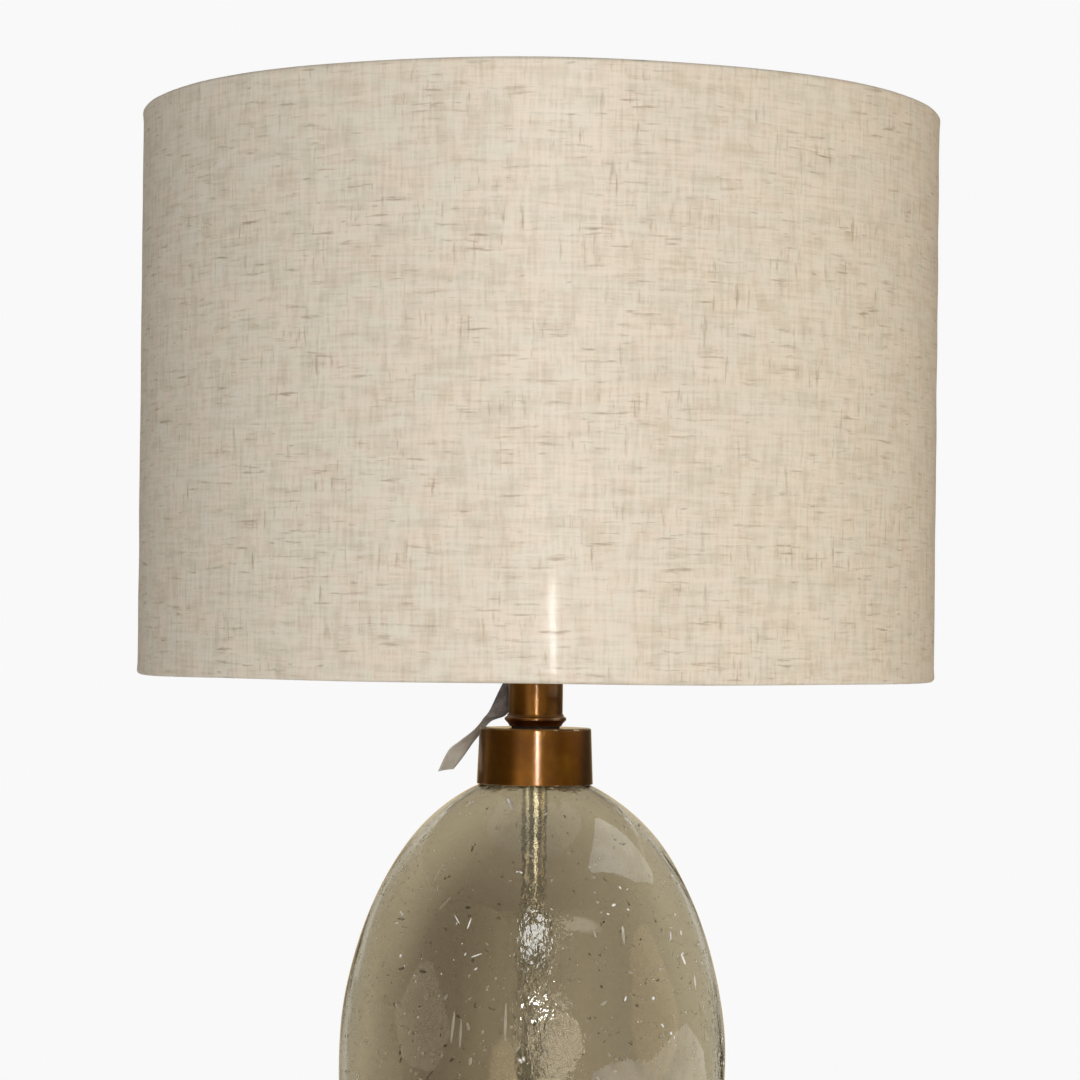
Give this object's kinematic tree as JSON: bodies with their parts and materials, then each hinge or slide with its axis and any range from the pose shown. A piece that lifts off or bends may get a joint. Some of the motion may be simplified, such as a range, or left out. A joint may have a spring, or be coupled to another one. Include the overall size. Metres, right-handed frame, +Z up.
{
  "type": "table lamp",
  "caption": "Table lamp with an egg-shaped seeded glass body between an antique brass cap and foot, and a linen drum shade on a harp.",
  "frame": {"origin": "on the table, under the lamp's axis, at the middle of the felt pad's underside", "axes": "+Z up along the lamp's axis; -Y is the front, where the switch's knob is; the cord leaves towards +Y"},
  "size_m": [0.406, 0.406, 0.6569],
  "materials": {
    "antique_brass": "antique brown brass, brushed round the axis, clear lacquer",
    "seeded_glass": "clear gloss, smoky olive tint, seeds and bubbles in the wall",
    "linen_laminate": "oatmeal linen-look cloth with brown slubs under a glossy film",
    "shade_film": "satin translucent styrene",
    "white_wire": "white powder coat",
    "tube_steel": "satin drawn tube",
    "zinc_steel": "zinc plated",
    "plated_wire": "antique brass plate on steel",
    "socket_brass": "bright rolled brass",
    "black_rubber": "matt",
    "clear_rubber": "translucent grey",
    "black_plastic": "matt moulded",
    "brown_plastic": "moulded phenolic",
    "card": "pressed brown card",
    "grey_iron": "rough cast",
    "green_felt": "dark felt",
    "bulb_opal": "soft white frosted glass",
    "bulb_clear": "clear glass",
    "bulb_aluminium": "rolled thread",
    "bulb_insulator": "black glass",
    "lead_wire": "drawn wire",
    "tag_paper": "blank coated paper strip"
  },
  "bodies": {
    "root": {"felt_pad": "green_felt", "foot_cover": "card", "foot_shell": "antique_brass", "foot_weight": "grey_iron", "bottom_washer": "zinc_steel", "bottom_nut": "zinc_steel", "cord_bushing": "black_plastic", "base_cup": "antique_brass", "glass_foot_gasket": "clear_rubber", "rod_foot_ring": "antique_brass", "glass_body": "seeded_glass", "rod_tube": "tube_steel", "threaded_rod": "zinc_steel", "neck_stopper": "clear_rubber", "cap_gasket": "black_rubber", "neck_cap": "antique_brass", "neck_washer": "black_rubber", "neck_ring": "antique_brass", "neck_tube": "antique_brass", "harp_saddle": "plated_wire", "saddle_nut": "zinc_steel", "harp_bow": "plated_wire", "harp_seat": "antique_brass", "socket_cap": "socket_brass", "socket_set_screw": "zinc_steel", "socket_shell": "socket_brass", "socket_sleeve": "card", "socket_core": "brown_plastic", "terminal_screws": "socket_brass", "screw_shell": "socket_brass", "centre_contact": "socket_brass", "paper_tag": "tag_paper"},
    "shade": {"shade_fabric": "linen_laminate", "shade_liner": "shade_film", "shade_seam": "shade_film", "shade_top_wire": "white_wire", "shade_bottom_wire": "white_wire", "spider_arms": "white_wire", "spider_hub": "white_wire"},
    "finial_ferrule": {"finial_base": "antique_brass"},
    "finial": {"finial_knob": "antique_brass"},
    "bulb_contact": {"bulb_tip": "zinc_steel"},
    "bulb": {"bulb_insulator": "bulb_insulator", "bulb_base": "bulb_aluminium", "bulb_glass": "bulb_opal", "bulb_stem": "bulb_clear", "bulb_filament": "lead_wire"},
    "sleeve_left": {"harp_sleeve_left": "antique_brass"},
    "sleeve_right": {"harp_sleeve_right": "antique_brass"},
    "switch": {"switch_shaft": "zinc_steel", "switch_knob": "black_plastic"}
  },
  "joints": [
    {"name": "shade_turn", "type": "hinge", "parent": "root", "child": "shade", "pos_m": [0, 0, 0.62], "axis": [0, 0, 1], "continuous": true},
    {"name": "switch_turn", "type": "hinge", "parent": "root", "child": "switch", "pos_m": [0, -0.02, 0.41378], "axis": [0, 1, 0], "continuous": true},
    {"name": "finial_lift", "type": "slide", "parent": "root", "child": "finial_ferrule", "axis": [0, 0, 1], "range_m": [0, 0.0103]},
    {"name": "finial_turn", "type": "hinge", "parent": "finial_ferrule", "child": "finial", "pos_m": [0, 0, 0.638], "axis": [0, 0, 1], "range_deg": [0, 3960]},
    {"name": "bulb_lift", "type": "slide", "parent": "root", "child": "bulb_contact", "axis": [0, 0, 1], "range_m": [0, 0.0254]},
    {"name": "bulb_turn", "type": "hinge", "parent": "bulb_contact", "child": "bulb", "pos_m": [0, 0, 0.44], "axis": [0, 0, 1], "range_deg": [0, 2521]},
    {"name": "harp_sleeve_left_lift", "type": "slide", "parent": "root", "child": "sleeve_left", "axis": [0, 0, 1], "range_m": [0, 0.012]},
    {"name": "harp_sleeve_right_lift", "type": "slide", "parent": "root", "child": "sleeve_right", "axis": [0, 0, 1], "range_m": [0, 0.012]}
  ],
  "couplings": [
    {"joint": "finial_turn", "follows": "finial_lift", "rad_per_m": 6679},
    {"joint": "bulb_turn", "follows": "bulb_lift", "rad_per_m": 1731.6}
  ]
}
